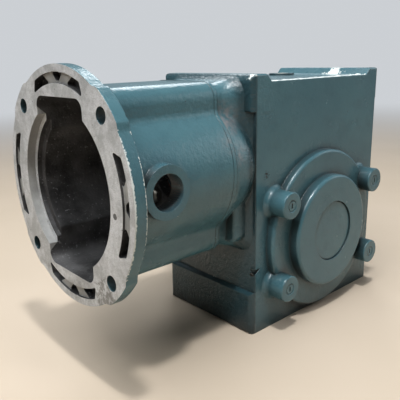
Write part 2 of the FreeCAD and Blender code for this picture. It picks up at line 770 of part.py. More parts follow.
def motor_adapter():
    """Tube that carries the motor flange, with its pilot, cored bore and access hole."""
    back_x = flange_x + flange_thickness
    tube = lobed_prism(back_x - flange_thickness / 2, adapter_x - adapter_lip_length / 2, tube_bulge_radius,
                       lobe_half_width, lobe_half_height, lobe_corner_radius, lobe_blend_radius)
    lip_x = adapter_x - adapter_lip_length
    lip = lobed_prism(lip_x, adapter_x, tube_bulge_radius + adapter_lip_height,
                      lobe_half_width + adapter_lip_height, lobe_half_height + adapter_lip_height,
                      lobe_corner_radius, lobe_blend_radius)
    lip = lip.makeFillet(seam_edge_radius, edges_where(lip, lambda point: abs(point.x - adapter_x) < 0.01))
    tube = tube.fuse(lip)
    body = motor_flange().fuse(tube)
    hole_x = flange_x + access_hole_from_face
    body = body.fuse(cylinder_y(access_boss_radius, -access_boss_reach, -cavity_bulge_radius + 4,
                                (hole_x, worm_height)))
    cutters = [
        cylinder_x(pilot_radius, flange_x - 1, flange_x + pilot_depth, worm_spot),
        cylinder_x(second_step_radius, flange_x, flange_x + second_step_depth, worm_spot),
        lobed_prism(flange_x - 1, adapter_x - adapter_end_wall, cavity_bulge_radius, cavity_half_width,
                    cavity_half_height, cavity_lobe_corner, 3.0),
        cylinder_x(adapter_end_bore, flange_x, adapter_x + 1, worm_spot),
        cylinder_y(access_hole_radius, -access_boss_reach - 1, 0, (hole_x, worm_height)),
    ]
    for spot in adapter_screw_spots():
        cutters.append(cylinder_x(adapter_screw_radius + hole_clearance, adapter_x - adapter_end_wall - 1,
                                  adapter_x + 1, spot))
    for quarter in range(4):
        hole = polar(motor_bolt_circle / 2, 45 + 90 * quarter)
        cutters.append(cylinder_x(motor_hole_radius, flange_x - 1, back_x + 1, (hole.y, hole.z)))
    return body.cut(cutters + flange_pockets())


def adapter_gasket():
    """Thin lobed gasket between the neck and the adapter."""
    sheet = lobed_prism(adapter_x, neck_x, tube_bulge_radius - neck_inset, lobe_half_width - neck_inset,
                        lobe_half_height - neck_inset, lobe_corner_radius, lobe_blend_radius)
    cutters = [cylinder_x(adapter_end_bore, adapter_x - 1, neck_x + 1, worm_spot)]
    for spot in adapter_screw_spots():
        cutters.append(cylinder_x(adapter_screw_radius + hole_clearance, adapter_x - 1, neck_x + 1, spot))
    return sheet.cut(cutters)


# Output cover

def output_cover():
    """Bearing cover of the open side: spigot, bearing seat, seal bore and four posts."""
    seat = output_bearing_outer
    boss = seat + seat_boss_wall
    spigot = cover_opening_radius - spigot_clearance
    profile = [(bearing_inner_y, seat), (bearing_inner_y, boss), (cover_back_y, boss),
               (cover_back_y - spigot_length, spigot - spigot_wall), (cover_back_y - spigot_length, spigot),
               (cover_back_y, spigot), (cover_back_y, ring_radius), (cover_flange_y - 1, ring_radius),
               (cover_flange_y, ring_radius - 1), (cover_flange_y, disc_radius),
               (cover_face_y - 1, disc_radius), (cover_face_y, disc_radius - 1),
               (cover_face_y, output_seal_outer), (seal_y, output_seal_outer),
               (seal_y, output_seal_outer - 4), (bearing_outer_y, output_seal_outer - 4),
               (bearing_outer_y, seat)]
    cover = turned_y(profile, wheel_spot)
    for x, dz in post_places:
        foot = V(x, cover_back_y, output_height + dz)
        cover = cover.fuse(post(foot, V(0, 1, 0), post_y - cover_back_y, cover_flange_thickness))
        cover = cover.fuse(cylinder_y(post_ear_radius, cover_back_y, cover_flange_y, (x, foot.z)))
    cutters = [aimed(tapped_hole(), V(0, 1, 0), V(x, post_y, output_height + dz)) for x, dz in post_places]
    for spot in screw_spots(cover_screw_circle, cover_screw_count):
        cutters.append(cylinder_y(cover_screw_radius + hole_clearance, cover_back_y - 1, cover_flange_y + 1, spot))
    cutters.append(cylinder_y(seat, bearing_inner_y - 1, bearing_outer_y, wheel_spot))
    return cover.cut(cutters)


def output_cover_gasket():
    """Gasket under the output cover."""
    sheet = cover_outline(pad_y, cover_back_y)
    cutters = [cylinder_y(cover_opening_radius, pad_y - 1, cover_back_y + 1, wheel_spot)]
    for spot in screw_spots(cover_screw_circle, cover_screw_count):
        cutters.append(cylinder_y(cover_screw_radius + hole_clearance, pad_y - 1, cover_back_y + 1, spot))
    return sheet.cut(cutters)


# Gear set

def thread_half_width(radius):
    """Half of the worm thread's axial width at a radius; its flanks are straight in the axial plane."""
    return axial_pitch / 4 - (radius - worm_pitch_radius) * math.tan(math.radians(pressure_angle))


def worm_thread():
    """Single-start right-hand thread, trimmed to the worm's length."""
    root = worm_root_radius - 0.4
    turns = 2 * math.ceil(worm_length / axial_pitch / 2 + 1)
    start = -turns / 2 * axial_pitch
    points = [V(root, 0, start - thread_half_width(root)),
              V(worm_tip_radius, 0, start - thread_half_width(worm_tip_radius)),
              V(worm_tip_radius, 0, start + thread_half_width(worm_tip_radius)),
              V(root, 0, start + thread_half_width(root))]
    helix = Part.makeHelix(axial_pitch, turns * axial_pitch, worm_pitch_radius)
    helix.translate(V(0, 0, start))
    thread = Part.Wire(helix.Edges).makePipeShell([Part.makePolygon(points + points[:1])], True, True)
    thread.rotate(V(0, 0, 0), V(0, 1, 0), 90)
    thread.translate(V(0, worm_spot[0], worm_spot[1]))
    return thread.common(cylinder_x(worm_tip_radius + 1, -worm_length / 2, worm_length / 2, worm_spot))


def worm_shaft():
    """Worm and shaft in one piece, with journals, collars and a keyed end in the adapter."""
    front = worm_front_bearing
    rear = worm_rear_bearing
    journal_front = front + worm_bearing_width + snap_ring_thickness + worm_seal_width + 4
    end = input_shaft_end
    profile = [(-end, 0), (-end, input_shaft_radius - 1), (-end + 1, input_shaft_radius),
               (-input_shaft_shoulder, input_shaft_radius), (-input_shaft_shoulder, worm_bearing_bore - 2.5),
               (-journal_front, worm_bearing_bore - 2.5), (-journal_front + 1, worm_bearing_bore),
               (-front, worm_bearing_bore), (-front, worm_collar_radius),
               (-front + worm_collar_length, worm_collar_radius),
               (-front + worm_collar_length + worm_taper_length, worm_root_radius),
               (rear - worm_collar_length - worm_taper_length, worm_root_radius),
               (rear - worm_collar_length, worm_collar_radius), (rear, worm_collar_radius),
               (rear, worm_bearing_bore), (rear + worm_bearing_width, worm_bearing_bore),
               (rear + worm_bearing_width + 1, worm_bearing_bore - 1), (rear + worm_bearing_width + 1, 0)]
    shaft = turned_x(profile, worm_spot).fuse(worm_thread())
    return shaft.cut(input_key())


def input_key():
    """Key in the worm shaft's driven end."""
    key = key_bar(input_key_width, input_key_length)
    middle = -input_shaft_end + input_key_from_end + input_key_length / 2
    key.translate(V(middle, 0, worm_height + input_shaft_radius))
    return key


def gap_flank(y, side):
    """One side of a wheel tooth gap in the plane at y, as the worm's section there generates it.

    The worm's section acts as a rack. A point of the rack touches the wheel where the normal through it
    passes the pitch point, and is then turned back to the wheel's rest angle. Points run outside in."""
    top = centre_distance - wheel_outer_radius - 1.0
    bottom = math.sqrt((worm_tip_radius + tip_clearance) ** 2 - y ** 2)
    count = 5
    points = []
    for step in range(count):
        depth = top + (bottom - top) * step / (count - 1)
        radius = math.hypot(depth, y)
        turn = math.atan2(y, depth)
        half_gap = thread_half_width(radius) + flank_clearance / math.cos(math.radians(pressure_angle))
        rack_x = side * half_gap + axial_pitch * turn / (2 * math.pi)
        slope = -side * math.tan(math.radians(pressure_angle)) * depth / radius
        slope -= axial_pitch / (2 * math.pi) * y / radius ** 2
        touch_x = (worm_pitch_radius - depth) / slope
        touch_z = centre_distance - depth
        angle = (touch_x - rack_x) / wheel_pitch_radius
        points.append(V(touch_x * math.cos(angle) - touch_z * math.sin(angle), y,
                        touch_x * math.sin(angle) + touch_z * math.cos(angle)))
    return points


def gap_section(y):
    """Closed outline of a wheel tooth gap in the plane at y, the wheel's axis at the origin."""
    left = gap_flank(y, -1)
    right = gap_flank(y, 1)
    floor = centre_distance - math.sqrt((worm_tip_radius + tip_clearance) ** 2 - y ** 2)
    sunk = []
    for low in (left[-1], right[-1]):
        radial = V(low.x, 0, low.z)
        radial.normalize()
        sunk.append(radial * (floor - 0.1) + V(0, y, 0))
    flanks = []
    for points in (left, right[::-1]):
        curve = Part.BSplineCurve()
        curve.interpolate(points)
        flanks.append(curve.toShape())
    return Part.Wire([flanks[0], Part.makeLine(left[-1], sunk[0]), Part.makeLine(sunk[0], sunk[1]),
                      Part.makeLine(sunk[1], right[-1]), flanks[1], Part.makeLine(right[0], left[0])])


def wheel_rim():
    """Bronze rim of the worm wheel: a throated ring with conjugate tooth gaps."""
    half = wheel_width / 2
    throat = worm_pitch_radius - gear_module
    throat_y = math.sqrt(throat ** 2 - (centre_distance - wheel_outer_radius) ** 2)
    bevel = wheel_rim_chamfer
    outer = wheel_outer_radius
    corners = [V(hub_rim_radius, -half, 0), V(outer - bevel * 1.5, -half, 0), V(outer, -half + bevel, 0),
               V(outer, -throat_y, 0)]
    after = [V(outer, throat_y, 0), V(outer, half - bevel, 0), V(outer - bevel * 1.5, half, 0),
             V(hub_rim_radius, half, 0), V(hub_rim_radius, -half, 0)]
    edges = [Part.makeLine(corners[k], corners[k + 1]) for k in range(len(corners) - 1)]
    edges.append(Part.Arc(corners[-1], V(wheel_throat_radius, 0, 0), after[0]).toShape())
    edges += [Part.makeLine(after[k], after[k + 1]) for k in range(len(after) - 1)]
    rim = Part.Face(Part.Wire(edges)).revolve(V(0, 0, 0), V(0, 1, 0), 360)
    reach = half + 0.5
    sections = [gap_section(reach * share) for share in (-1.0, -0.5, 0.0, 0.5, 1.0)]
    gap = Part.makeLoft(sections, True, False)
    gaps = []
    for tooth in range(wheel_teeth):
        copy = gap.copy()
        copy.rotate(V(0, 0, 0), V(0, 1, 0), 360.0 * tooth / wheel_teeth)
        gaps.append(copy)
    rim = rim.cut(gaps)
    rim.translate(V(wheel_spot[0], 0, wheel_spot[1]))
    return rim


def wheel_key():
    """Key between the output shaft and the wheel hub."""
    key = key_bar(wheel_key_width, wheel_key_length)
    key.rotate(V(0, 0, 0), V(0, 0, 1), 90)
    key.translate(V(0, 0, output_height + hub_seat_radius))
    return key


def wheel_hub():
    """Iron hub that carries the rim: boss, web and rim seat."""
    half = wheel_width / 2
    inside = hub_rim_radius - hub_rim_wall
    profile = [(-hub_half_length, hub_seat_radius), (-hub_half_length, hub_boss_radius - 1),
               (-hub_web / 2, hub_boss_radius), (-hub_web / 2, inside), (-half, inside + 1),
               (-half, hub_rim_radius), (half, hub_rim_radius), (half, inside + 1), (hub_web / 2, inside),
               (hub_web / 2, hub_boss_radius), (hub_half_length, hub_boss_radius - 1),
               (hub_half_length, hub_seat_radius)]
    slot = block(-wheel_key_width / 2, wheel_key_width / 2, -hub_half_length - 1, hub_half_length + 1,
                 output_height, output_height + hub_seat_radius + wheel_key_width / 2)
    return turned_y(profile, wheel_spot).cut(slot)


def output_shaft():
    """Output shaft: journals, wheel seat, collar and keyed end."""
    near = bearing_outer_y
    end = output_shaft_end
    collar = hub_half_length + shaft_collar_length
    journal_end = cover_face_y + 2
    profile = [(-near, 0), (-near, output_bearing_bore - 1), (-near + 1, output_bearing_bore),
               (-hub_half_length, output_bearing_bore), (-hub_half_length, hub_seat_radius),
               (hub_half_length, hub_seat_radius), (hub_half_length, shaft_collar_radius),
               (collar, shaft_collar_radius), (bearing_inner_y, output_bearing_bore + 3.5),
               (bearing_inner_y, output_bearing_bore), (journal_end, output_bearing_bore),
               (journal_end + 1, output_shaft_radius), (end - 1.5, output_shaft_radius),
               (end, output_shaft_radius - 1.5), (end, 0)]
    return turned_y(profile, wheel_spot).cut([output_key(), wheel_key()])


def output_key():
    """Key in the output shaft's free end."""
    key = key_bar(output_key_width, output_key_length)
    key.rotate(V(0, 0, 0), V(0, 0, 1), 90)
    middle = output_shaft_end - output_key_from_end - output_key_length / 2
    key.translate(V(0, middle, output_height + output_shaft_radius))
    return key


def wheel_spacer():
    """Tube between the closed side's bearing and the wheel hub."""
    return turned_y([(-bearing_inner_y, output_bearing_bore), (-bearing_inner_y, output_bearing_bore + 4),
                     (-hub_half_length, output_bearing_bore + 4), (-hub_half_length, output_bearing_bore)],
                    wheel_spot)


# Small pieces

def oil_plug(place, axis):
    """Pipe plug with a hexagon socket, flush with its boss."""
    top = plug_boss_height
    body = Part.makeCylinder(plug_radius, plug_length, V(0, 0, top - plug_length))
    return aimed(body.cut(hex_prism(plug_socket, top - plug_socket_depth, top + 1)), axis, place)


def save_bearing(name, place, axis, sizes):
    """Write the four nodes of one ball bearing."""
    for piece, solids in zip(("outer_race", "inner_race", "balls", "cage"), ball_bearing(*sizes)):
        save(name + "_" + piece, [aimed(solid, axis, place) for solid in solids])


def main():
    os.makedirs("parts", exist_ok=True)
    save("housing", [housing()])
    save("motor_adapter", [motor_adapter()])
    save("adapter_gasket", [adapter_gasket()])
    screw = hex_screw(adapter_screw_radius, adapter_screw_head,
                      adapter_end_wall + gasket_thickness + adapter_screw_grip)
    save("adapter_screws", [aimed(screw, V(-1, 0, 0), V(adapter_x - adapter_end_wall, y, z))
                            for y, z in adapter_screw_spots()])
    save("output_cover", [output_cover()])
    save("output_cover_gasket", [output_cover_gasket()])
    screw = hex_screw(cover_screw_radius, cover_screw_head,
                      cover_flange_thickness + gasket_thickness + cover_screw_grip)
    save("output_cover_screws", [aimed(screw, V(0, 1, 0), V(x, cover_flange_y, z))
                                 for x, z in screw_spots(cover_screw_circle, cover_screw_count)])
    save("post_plugs", [aimed(post_plug(), V(0, -1, 0), V(x, -post_y, output_height + dz))
                        for x, dz in post_places])
    plug = pressed_cup(closure_plug_radius, closure_plug_depth, closure_plug_wall, 1.0)
    save("closure_plug", [aimed(plug, V(0, -1, 0), V(0, -disc_y + closure_plug_recess, output_height))])
    cap = pressed_cup(worm_bearing_outer, end_cap_depth, end_cap_wall, 1.2)
    save("worm_end_cap", [aimed(cap, V(1, 0, 0), V(housing_half_length, 0, worm_height))])
    front_ring = -worm_front_bearing - worm_bearing_width - snap_ring_thickness
    save("worm_front_snap_ring", [snap_ring(worm_bearing_outer, front_ring)])
    save("worm_rear_snap_ring", [snap_ring(worm_bearing_outer, worm_rear_bearing + worm_bearing_width)])
    seal = lip_seal(worm_bearing_outer, worm_bearing_bore + seal_clearance, worm_seal_width)
    save("worm_seal", [aimed(seal, V(-1, 0, 0), V(front_ring - 1, 0, worm_height))])
    seal = lip_seal(output_seal_outer, output_bearing_bore + seal_clearance, output_seal_width)
    save("output_seal", [aimed(seal, V(0, 1, 0), V(0, seal_y, output_height))])
    for name, (place, axis) in oil_holes.items():
        save(name, [oil_plug(place, axis)])
    save("worm_shaft", [worm_shaft()])
    save("worm_key", [input_key()])
    save("output_shaft", [output_shaft()])
    save("output_key", [output_key()])
    save("wheel_key", [wheel_key()])
    save("wheel_hub", [wheel_hub()])
    save("wheel_rim", [wheel_rim()])
    save("wheel_spacer", [wheel_spacer()])
    worm_sizes = (worm_bearing_bore, worm_bearing_outer, worm_bearing_width, worm_ball_radius, worm_ball_count)
    half = worm_bearing_width / 2
    save_bearing("worm_front_bearing", V(-worm_front_bearing - half, 0, worm_height), V(1, 0, 0), worm_sizes)
    save_bearing("worm_rear_bearing", V(worm_rear_bearing + half, 0, worm_height), V(1, 0, 0), worm_sizes)
    output_sizes = (output_bearing_bore, output_bearing_outer, output_bearing_width, output_ball_radius,
                    output_ball_count)
    middle = (bearing_inner_y + bearing_outer_y) / 2
    save_bearing("output_near_bearing", V(0, -middle, output_height), V(0, 1, 0), output_sizes)
    save_bearing("output_far_bearing", V(0, middle, output_height), V(0, 1, 0), output_sizes)



main()
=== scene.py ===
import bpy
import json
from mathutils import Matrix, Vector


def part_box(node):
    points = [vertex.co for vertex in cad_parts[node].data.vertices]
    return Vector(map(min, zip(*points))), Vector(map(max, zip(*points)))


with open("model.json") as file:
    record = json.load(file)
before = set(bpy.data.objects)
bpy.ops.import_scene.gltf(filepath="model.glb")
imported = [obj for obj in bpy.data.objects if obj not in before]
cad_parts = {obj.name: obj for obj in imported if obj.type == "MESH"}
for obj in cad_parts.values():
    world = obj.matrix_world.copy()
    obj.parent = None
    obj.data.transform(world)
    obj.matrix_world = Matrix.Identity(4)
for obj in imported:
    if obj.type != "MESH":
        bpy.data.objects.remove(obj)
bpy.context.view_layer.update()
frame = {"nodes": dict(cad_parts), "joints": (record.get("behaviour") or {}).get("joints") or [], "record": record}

import json
import math

import bpy
from mathutils import Matrix, Vector

# Worm gear reducer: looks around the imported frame, in metres.

nodes = frame["nodes"]
joints = {joint["name"]: joint for joint in frame["joints"]}
scene = bpy.context.scene
scene.view_settings.view_transform = "Standard"

# Places read from the frame
worm_z = joints["worm_spin"]["pos_m"][2]
adapter_low, adapter_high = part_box("motor_adapter")
housing_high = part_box("housing")[1]
flange_x = adapter_low.x
adapter_x = adapter_high.x
housing_end_x = -housing_high.x

# Sizes of the castings by which marks and finishes are laid
flange_radius = 0.08255
flange_thickness = 0.0093
top_floor_z = 0.2064
housing_edge_y = -0.0528

# Marks that the photograph shows: each a place and its reach
flange_near_side = ((flange_x, -0.085, worm_z - 0.002), 0.085)
worn_ear = ((flange_x + 0.002, -0.056, worm_z + 0.062), 0.014)
face_pit = ((flange_x, -0.0616, worm_z - 0.0068), 0.0030)
face_oil_pool = ((flange_x, -0.045, worm_z - 0.066), 0.024)
adapter_dust = ((adapter_x, -0.052, worm_z + 0.024), 0.016)
adapter_dent = ((adapter_x - 0.006, 0.02, worm_z + 0.064), 0.006)
upper_neck_dust = ((adapter_x + 0.005, -0.042, worm_z + 0.040), 0.020)
lower_neck_dust = ((adapter_x + 0.006, -0.054, worm_z + 0.014), 0.016)
chipped_corner = ((housing_end_x + 0.003, housing_edge_y + 0.004, housing_high.z), 0.009)
worn_top = ((0.070, -0.016, top_floor_z), 0.016)
upper_side_dent = ((-0.0713, housing_edge_y, 0.1334), 0.008)
lower_side_dent = ((-0.0844, -0.0495, 0.0521), 0.0035)
rough_upper_corner = ((housing_end_x - 0.004, -0.040, housing_high.z - 0.02), 0.050)
rough_lower_corner = ((housing_end_x, -0.050, 0.060), 0.050)

# Samples of the nodes that look around a point
edge_samples = 6
crevice_samples = 8

# Skin of the paint: grain per metre and its height
lump_grain, lump_height = 85.0, 0.0007
sand_grain, sand_height = 360.0, 0.00040
peel_grain, peel_height = 900.0, 0.00014
chip_height = 0.00015
chip_edge = 0.0008
paint_edge = 0.0010
# Reach of the painted shade in corners
crevice_reach = 0.030

# Skin of the turned face
ring_pitch = 0.0006
ring_height = 0.00001
scratch_height = 0.00003
pit_depth = 0.0002


class Tree:
    """Node tree of a new material or of the world, with short calls for the nodes used here."""

    def __init__(self, name, tree=None, coordinate="Object"):
        if tree is None:
            self.material = bpy.data.materials.new(name)
            self.material.use_nodes = True
            tree = self.material.node_tree
        self.tree = tree
        self.tree.nodes.clear()
        self.object = self.add("ShaderNodeTexCoord").outputs[coordinate]

    def add(self, kind, inputs=None, **settings):
        node = self.tree.nodes.new(kind)
        for name, value in settings.items():
            setattr(node, name, value)
        for name, value in (inputs or {}).items():
            self.put(node.inputs[name], value)
        return node

    def put(self, socket, value):
        if isinstance(value, bpy.types.NodeSocket):
            self.tree.links.new(value, socket)
        else:
            socket.default_value = value

    def math(self, operation, *values, clamp=False):
        node = self.add("ShaderNodeMath", operation=operation, use_clamp=clamp)
        for socket, value in zip(node.inputs, values):
            self.put(socket, value)
        return node.outputs[0]

    def times(self, first, second):
        return self.math("MULTIPLY", first, second)

    def length(self, first, second):
        """Length of the long side of a right triangle."""
        return self.math("SQRT", self.math("ADD", self.times(first, first), self.times(second, second)))

    def between(self, value, low, high, out_low=0.0, out_high=1.0):
        """Smooth step from one output to another while a value runs from low to high."""
        node = self.add("ShaderNodeMapRange", interpolation_type="SMOOTHSTEP")
        for name, number in (("Value", value), ("From Min", low), ("From Max", high),
                             ("To Min", out_low), ("To Max", out_high)):
            self.put(node.inputs[name], number)
        return node.outputs["Result"]

    def stretched(self, scale):
        return self.add("ShaderNodeMapping", {"Vector": self.object, "Scale": scale}).outputs["Vector"]

    def noise(self, scale, detail=2.0, roughness=0.5, vector=None, distortion=0.0):
        return self.add("ShaderNodeTexNoise", {"Vector": vector or self.object, "Scale": scale,
                                               "Detail": detail, "Roughness": roughness,
                                               "Distortion": distortion}).outputs["Fac"]

    def cells(self, scale):
        return self.add("ShaderNodeTexVoronoi", {"Vector": self.object, "Scale": scale}).outputs["Distance"]

    def mix(self, share, first, second):
        node = self.add("ShaderNodeMix", data_type="RGBA")
        for index, value in ((0, share), (6, first), (7, second)):
            self.put(node.inputs[index], value)
        return node.outputs[2]

    def bump(self, height, distance, strength=1.0, normal=None):
        inputs = {"Height": height, "Distance": distance, "Strength": strength}
        if normal is not None:
            inputs["Normal"] = normal
        return self.add("ShaderNodeBump", inputs).outputs["Normal"]

    def soft_edges(self, radius):
        return self.add("ShaderNodeBevel", {"Radius": radius}, samples=edge_samples).outputs["Normal"]

    def edge_mask(self, radius):
        """1 along edges, from how far the rounded normal leans away from the true one."""
        true = self.add("ShaderNodeNewGeometry").outputs["Normal"]
        dot = self.add("ShaderNodeVectorMath", operation="DOT_PRODUCT")
        self.put(dot.inputs[0], self.soft_edges(radius))
        self.put(dot.inputs[1], true)
        lean = self.math("SUBTRACT", 1.0, dot.outputs["Value"])
        return self.between(lean, 0.02, 0.25)

    def open_air(self, distance):
        """1 in the open, towards 0 in corners."""
        node = self.add("ShaderNodeAmbientOcclusion", {"Distance": distance}, samples=crevice_samples)
        return node.outputs["AO"]

    def split(self):
        """The three coordinates of a point."""
        return self.add("ShaderNodeSeparateXYZ", {"Vector": self.object}).outputs

    def finish(self, **inputs):
        shader = self.add("ShaderNodeBsdfPrincipled")
        for name, value in inputs.items():
            self.put(shader.inputs[name.replace("_", " ")], value)
        output = self.add("ShaderNodeOutputMaterial")
        self.tree.links.new(shader.outputs[0], output.inputs["Surface"])
        return self.material


def colour(red, green, blue):
    """Linear colour from the 0 to 255 values that a screen shows."""
    def linear(value):
        value = value / 255
        return value / 12.92 if value <= 0.04045 else ((value + 0.055) / 1.055) ** 2.4
    return (linear(red), linear(green), linear(blue), 1.0)


# Colours
teal = colour(62, 97, 107)
teal_pale = colour(67, 103, 112)
teal_deep = colour(53, 86, 96)
# Pale primer for chips, also the colour of the painted glare band on the top floor
primer_and_glare = colour(206, 214, 212)
# Dark colour for painted shade in corners, and for real pinholes and dents
grime_and_shade = colour(22, 27, 27)
# Dark teal for the painted shade on the end face
end_face_shade = colour(21, 38, 43)
rust_dust = colour(142, 128, 126)
iron_bright = colour(206, 209, 212)
iron_dull = colour(168, 171, 173)
oil_stain = colour(70, 66, 57)
raw_iron = colour(82, 82, 83)
raw_iron_dark = colour(38, 38, 39)


def near_spot(t, place, reach):
    """1 at a place on the object, 0 beyond a reach in metres."""
    apart = t.add("ShaderNodeVectorMath", {0: t.object, 1: place}, operation="DISTANCE")
    return t.between(apart.outputs["Value"], 0.0, reach, 1.0, 0.0)


def near_circle(t, along_x, radius, reach):
    """1 on a circle about the worm axis, 0 beyond a reach in metres."""
    x, y, z = t.split()
    out = t.length(y, t.math("SUBTRACT", z, worm_z))
    apart = t.length(t.math("SUBTRACT", out, radius), t.math("SUBTRACT", x, along_x))
    return t.between(apart, 0.0, reach, 1.0, 0.0)


def ragged_patches_in(t, share, scale, cover):
    """Ragged patches inside a mask; a larger cover leaves more of them."""
    ragged = t.math("ADD", t.noise(scale, 4.0, 0.7), t.times(share, cover))
    return t.times(t.between(ragged, 0.70, 0.73), t.between(share, 0.02, 0.12))


def strongest(t, masks):
    """The largest of several masks at each place."""
    value = masks[0]
    for mask in masks[1:]:
        value = t.math("MAXIMUM", value, mask)
    return value


def adapter_marks(t):
    """Dust, flaked paint, dark dents, height of the cast skin and painted end-face shade (none here) of the motor
    adapter.
    """
    near_side = near_spot(t, *flange_near_side)
    front = t.times(near_circle(t, flange_x, flange_radius, 0.0024), near_side)
    back = t.times(near_circle(t, flange_x + flange_thickness, flange_radius, 0.0020), near_side)
    ear = t.times(near_spot(t, *worn_ear), t.edge_mask(0.0009))
    pale_marks = strongest(t, [ragged_patches_in(t, front, 620.0, 0.45), ragged_patches_in(t, back, 620.0, 0.40),
                           ragged_patches_in(t, ear, 700.0, 0.4)])
    dust = t.times(near_spot(t, *adapter_dust), 0.35)
    dents = t.between(near_spot(t, *adapter_dent), 0.2, 0.5, 0.0, 0.6)
    skin = 1.6
    end_shade_share = 0.0
    return dust, pale_marks, dents, skin, end_shade_share


def housing_marks(t):
    """Dust, flaked paint, a painted glare band on the top floor, dark dents, height of the cast skin and painted
    shade on the end face of the gear case.
    """
    dust = strongest(t, [t.times(near_spot(t, *upper_neck_dust), 0.75),
                         t.times(near_spot(t, *lower_neck_dust), 0.35)])
    x, y, z = t.split()
    neck_side = t.between(x, housing_end_x - 0.003, housing_end_x, 1.0, 0.0)
    # Painted glare with worn primer: a pale ragged band along the near edge of the top floor
    floor_glare_and_wear = t.times(t.between(z, top_floor_z - 0.0011, top_floor_z - 0.0003),
                       t.between(z, top_floor_z + 0.0004, top_floor_z + 0.0012, 1.0, 0.0))
    floor_glare_and_wear = t.times(floor_glare_and_wear, t.between(y, housing_edge_y + 0.0006, housing_edge_y + 0.0016))
    floor_glare_and_wear = t.times(floor_glare_and_wear, t.between(x, housing_end_x + 0.018, housing_end_x + 0.024))
    near_edge = t.between(y, housing_edge_y + 0.002, housing_edge_y + 0.034, 1.0, 0.0)
    pale_marks = strongest(t, [
        ragged_patches_in(t, t.times(floor_glare_and_wear, near_edge), 150.0, 0.28),
        ragged_patches_in(t, near_spot(t, *chipped_corner), 520.0, 0.28),
        ragged_patches_in(t, near_spot(t, *worn_top), 260.0, 0.40)])
    dents = strongest(t, [ragged_patches_in(t, near_spot(t, *upper_side_dent), 800.0, 0.22),
                          ragged_patches_in(t, near_spot(t, *lower_side_dent), 500.0, 0.5)])
    # Near the end face: a rougher cast skin, and painted shade that darkens its colour
    end_face = t.times(t.between(x, housing_end_x + 0.0040, housing_end_x + 0.0060, 1.0, 0.0),
                       t.between(x, housing_end_x - 0.0080, housing_end_x - 0.0010))
    rough_skin = strongest(t, [near_spot(t, *rough_upper_corner), near_spot(t, *rough_lower_corner),
                               end_face, t.times(neck_side, 0.6)])
    skin = t.math("ADD", 0.55, t.times(rough_skin, 2.4))
    # Painted shade: the end face darkened, where little light falls on it
    end_shade_share = t.times(end_face, 0.7)
    return dust, pale_marks, dents, skin, end_shade_share


def painted_iron(name, marks=None):
    """Enamel over sand-cast iron: cast grain under the paint, chipped edges, painted shade in corners, and the
    marks' painted shade and glare.
    """
    t = Tree(name)
    drift = t.noise(14.0, 3.0)
    cloud = t.noise(60.0, 4.0, 0.6)
    base = t.mix(t.between(drift, 0.35, 0.65), teal, teal_pale)
    base = t.mix(t.times(t.between(cloud, 0.45, 0.75), 0.5), base, teal_deep)
    chips_and_glare = t.times(t.edge_mask(chip_edge), t.between(t.noise(300.0, 5.0, 0.7), 0.63, 0.67))
    pinholes = t.times(t.between(t.cells(110.0), 0.03, 0.06, 1.0, 0.0),
                       t.between(t.noise(31.0, 1.0), 0.53, 0.58))
    # Painted shade: the colour darkens where nearby surfaces close in, from ambient occlusion
    crevice_shade = t.between(t.open_air(crevice_reach), 0.35, 0.92, 0.9, 0.0)
    skin = 1.0
    if marks:
        dust, pale_marks, dents, skin, end_shade_share = marks(t)
        ragged = t.between(t.noise(210.0, 5.0, 0.7), 0.35, 0.65)
        base = t.mix(t.times(dust, ragged), base, rust_dust)
        chips_and_glare = t.math("MAXIMUM", chips_and_glare, pale_marks)
        pinholes = t.math("MAXIMUM", pinholes, dents)
        # Painted shade on the end face, in a dark teal
        base = t.mix(end_shade_share, base, end_face_shade)
    # Painted shade in corners and hollows; the same dark colour marks real pinholes and dents below
    base = t.mix(crevice_shade, base, grime_and_shade)
    base = t.mix(pinholes, base, grime_and_shade)
    # Pale chips and flakes; on the gear case this also paints the glare band on the top floor
    base = t.mix(chips_and_glare, base, primer_and_glare)
    normal = t.bump(t.noise(lump_grain, 2.0, 0.45), lump_height, 0.30, t.soft_edges(paint_edge))
    normal = t.bump(t.times(t.noise(sand_grain, 3.0, 0.55), skin), sand_height, 0.6, normal)
    normal = t.bump(t.noise(peel_grain, 2.0, 0.5), peel_height, 0.6, normal)
    normal = t.bump(t.math("SUBTRACT", chips_and_glare, pinholes), chip_height, 0.6, normal)
    gloss = t.between(t.noise(40.0, 3.0), 0.3, 0.7, 0.19, 0.28)
    gloss = t.math("ADD", gloss, t.times(chips_and_glare, 0.3), clamp=True)
    gloss = t.math("ADD", gloss, t.times(crevice_shade, 0.2), clamp=True)
    return t.finish(Base_Color=base, Roughness=gloss, Normal=normal, Specular_IOR_Level=0.5)


